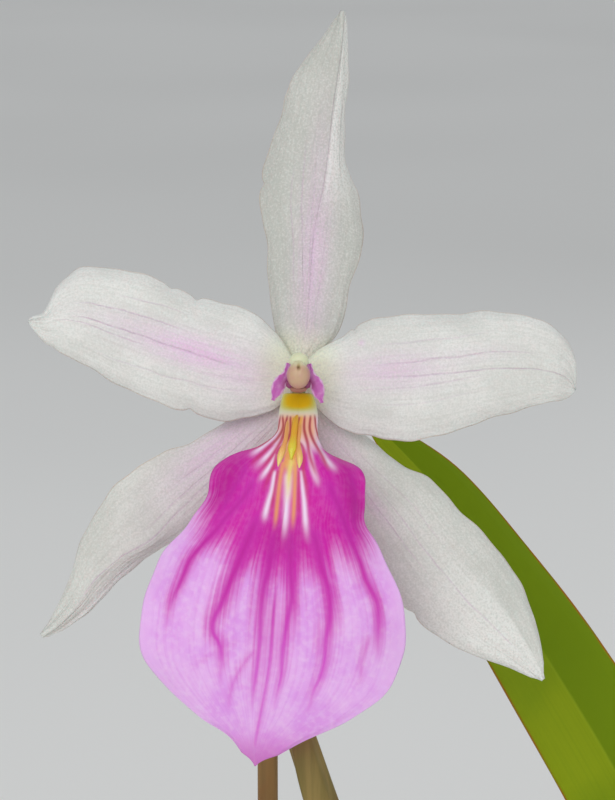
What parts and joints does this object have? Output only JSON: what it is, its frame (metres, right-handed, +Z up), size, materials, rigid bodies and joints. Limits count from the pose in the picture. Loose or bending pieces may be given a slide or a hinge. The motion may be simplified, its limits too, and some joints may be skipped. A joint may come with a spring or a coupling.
{
  "type": "potted pansy orchid",
  "caption": "Pansy orchid in flower in a plain clay pot: white sepals and petals, a broad pink veined lip, strap leaves, pseudobulbs and bark.",
  "frame": {"origin": "centre of the pot's foot, on the surface that it stands on", "axes": "+Z up the pot's axis; -Y is the side that the flower faces"},
  "size_m": [0.165, 0.1296, 0.359],
  "materials": {
    "clay": "matte",
    "bark": "matte",
    "root": "matte",
    "bulb": "satin",
    "old_bulb": "matte",
    "leaf": "satin",
    "stalk": "matte",
    "ovary": "satin",
    "tepal": "satin",
    "lip": "satin",
    "column": "satin",
    "anther": "satin"
  },
  "bodies": {
    "root": {"pot": "clay", "bark_mix": "bark", "rhizome_and_roots": "root", "pseudobulb_front_left": "bulb", "pseudobulb_right": "bulb", "pseudobulb_back": "bulb", "pseudobulb_old_leafless": "old_bulb", "leaf_behind_flower": "leaf", "leaf_right_outer": "leaf", "leaf_left_front": "leaf", "leaf_left_back": "leaf", "leaf_back_right": "leaf", "leaf_back_left": "leaf", "basal_leaf_front_left": "leaf", "basal_leaf_front_middle": "leaf", "basal_leaf_right_outer": "leaf", "basal_leaf_right_inner": "leaf", "basal_leaf_back_left": "leaf", "basal_leaf_back_right": "leaf", "new_growth": "leaf", "flower_scape": "stalk", "young_scape": "stalk", "pedicel_and_ovary": "ovary", "dorsal_sepal": "tepal", "left_petal": "tepal", "right_petal": "tepal", "left_lateral_sepal": "tepal", "right_lateral_sepal": "tepal", "lip": "lip", "column": "column", "anther_cap": "anther"}
  },
  "joints": []
}
